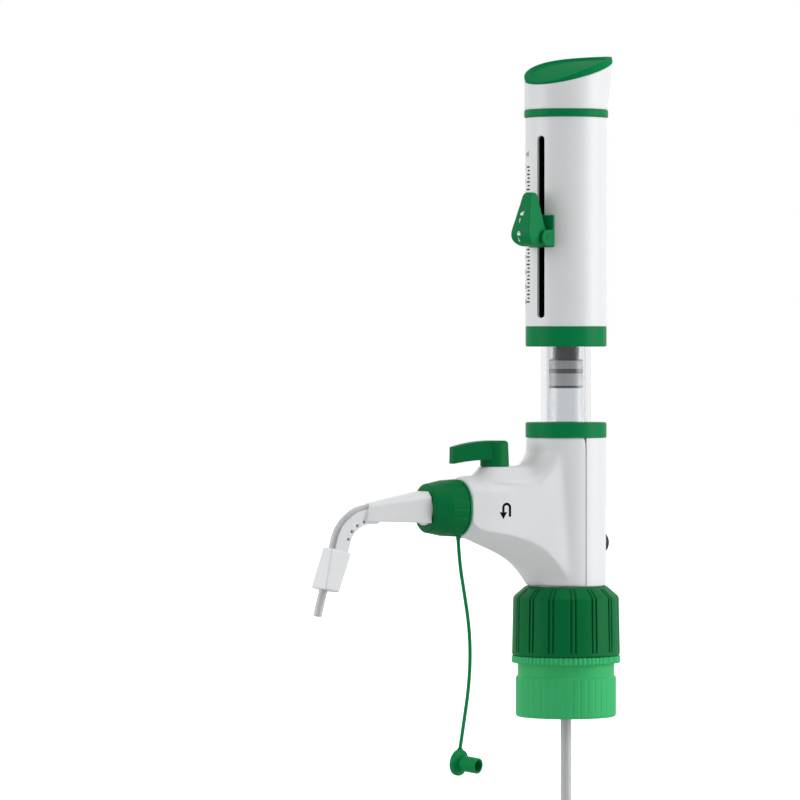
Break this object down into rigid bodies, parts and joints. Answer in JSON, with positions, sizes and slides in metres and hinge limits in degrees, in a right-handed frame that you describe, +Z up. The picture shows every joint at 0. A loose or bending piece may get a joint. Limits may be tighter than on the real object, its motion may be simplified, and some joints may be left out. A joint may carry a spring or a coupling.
{
  "type": "bottle top dispenser",
  "caption": "Hand lifted piston dispenser for a lab bottle: clear cylinder with sliding handle and volume adjuster, side spout with tap lever, collar and filling tube.",
  "frame": {"origin": "bottle axis at the lower mouth of the bottle adapter", "axes": "+Z up along the bottle and piston axis, -X toward the spout"},
  "size_m": [0.1777, 0.057, 0.4976],
  "materials": {
    "white_shell": "satin moulded",
    "trim_green": "satin moulded",
    "nut_green": "satin moulded",
    "adapter_green": "satin moulded",
    "cord_green": "satin moulded",
    "fluoropolymer": "waxy",
    "ceramic": "polished",
    "spring_wire": "bright wire",
    "steel_rod": "ground",
    "clear_tube": "clear",
    "tube_film": "translucent",
    "grey_plastic": "moulded",
    "dark_seal": "smooth",
    "black_rubber": "smooth"
  },
  "bodies": {
    "adapter": {"bottle_adapter": "adapter_green", "neck_gasket": "black_rubber"},
    "collar": {"collar_nut": "nut_green"},
    "head": {"valve_block": "fluoropolymer", "suction_valve": "fluoropolymer", "glass_cylinder": "clear_tube", "jacket_tube": "clear_tube", "stroke_stop": "grey_plastic", "front_housing": "white_shell", "rear_housing": "white_shell", "housing_ring": "trim_green", "filling_tube": "tube_film", "return_tube": "tube_film", "vent_plug": "black_rubber", "spout_holder": "white_shell", "discharge_tube": "tube_film", "tube_clip": "white_shell", "tether_ring": "trim_green", "tether_cord": "cord_green", "closure_cap": "trim_green", "discharge_spring": "spring_wire"},
    "suction_ball": {"suction_ball": "ceramic"},
    "discharge_ball": {"discharge_ball": "ceramic"},
    "valve": {"valve_lever": "trim_green", "valve_spindle": "fluoropolymer"},
    "nozzle_nut": {"nozzle_nut": "nut_green"},
    "lower_tube": {"filling_tube_lower": "tube_film"},
    "piston": {"piston_face": "dark_seal", "piston_head": "fluoropolymer", "piston_seal": "dark_seal", "piston_stalk": "grey_plastic", "piston_rod": "steel_rod", "rod_nut": "steel_rod"},
    "handle": {"handle_sleeve": "white_shell", "sleeve_base_ring": "trim_green", "sleeve_top_ring": "trim_green", "top_cap": "white_shell", "thumb_pad": "trim_green"},
    "adjuster": {"adjuster_base": "trim_green", "stop_block": "grey_plastic", "lever_pin": "steel_rod"},
    "lock_lever": {"lock_lever": "trim_green"}
  },
  "joints": [
    {"name": "collar_turn", "type": "hinge", "parent": "adapter", "child": "collar", "pos_m": [0, 0, 0.05], "axis": [0, 0, 1], "continuous": true},
    {"name": "head_swivel", "type": "hinge", "parent": "adapter", "child": "head", "pos_m": [0, 0, 0.055], "axis": [0, 0, 1], "continuous": true},
    {"name": "suction_ball_lift", "type": "slide", "parent": "head", "child": "suction_ball", "axis": [0, 0, 1], "range_m": [0, 0.002]},
    {"name": "discharge_ball_lift", "type": "slide", "parent": "head", "child": "discharge_ball", "axis": [-1, 0, 0], "range_m": [0, 0.002], "stiffness_N_per_m": 40, "springref_m": -0.002, "deforming": ["discharge_spring"]},
    {"name": "valve_turn", "type": "hinge", "parent": "head", "child": "valve", "pos_m": [-0.043, 0, 0.125], "axis": [0, 0, 1], "range_deg": [0, 90]},
    {"name": "nozzle_nut_turn", "type": "hinge", "parent": "head", "child": "nozzle_nut", "pos_m": [-0.075, 0, 0.1105], "axis": [1, 0, 0], "continuous": true},
    {"name": "tube_telescope", "type": "slide", "parent": "head", "child": "lower_tube", "axis": [0, 0, 1], "range_m": [-0.02, 0.06]},
    {"name": "piston_lift", "type": "slide", "parent": "head", "child": "piston", "axis": [0, 0, 1], "range_m": [-0.0394, 0]},
    {"name": "handle_turn", "type": "hinge", "parent": "piston", "child": "handle", "pos_m": [0, 0, 0.315], "axis": [0, 0, 1], "continuous": true},
    {"name": "adjuster_slide", "type": "slide", "parent": "handle", "child": "adjuster", "axis": [0, 0, 1], "range_m": [-0.0368, 0]},
    {"name": "lock_tilt", "type": "hinge", "parent": "adjuster", "child": "lock_lever", "pos_m": [-0.02411, -0.00974, 0.251], "axis": [-0.3746, 0.9272, 0], "range_deg": [0, 12]}
  ]
}
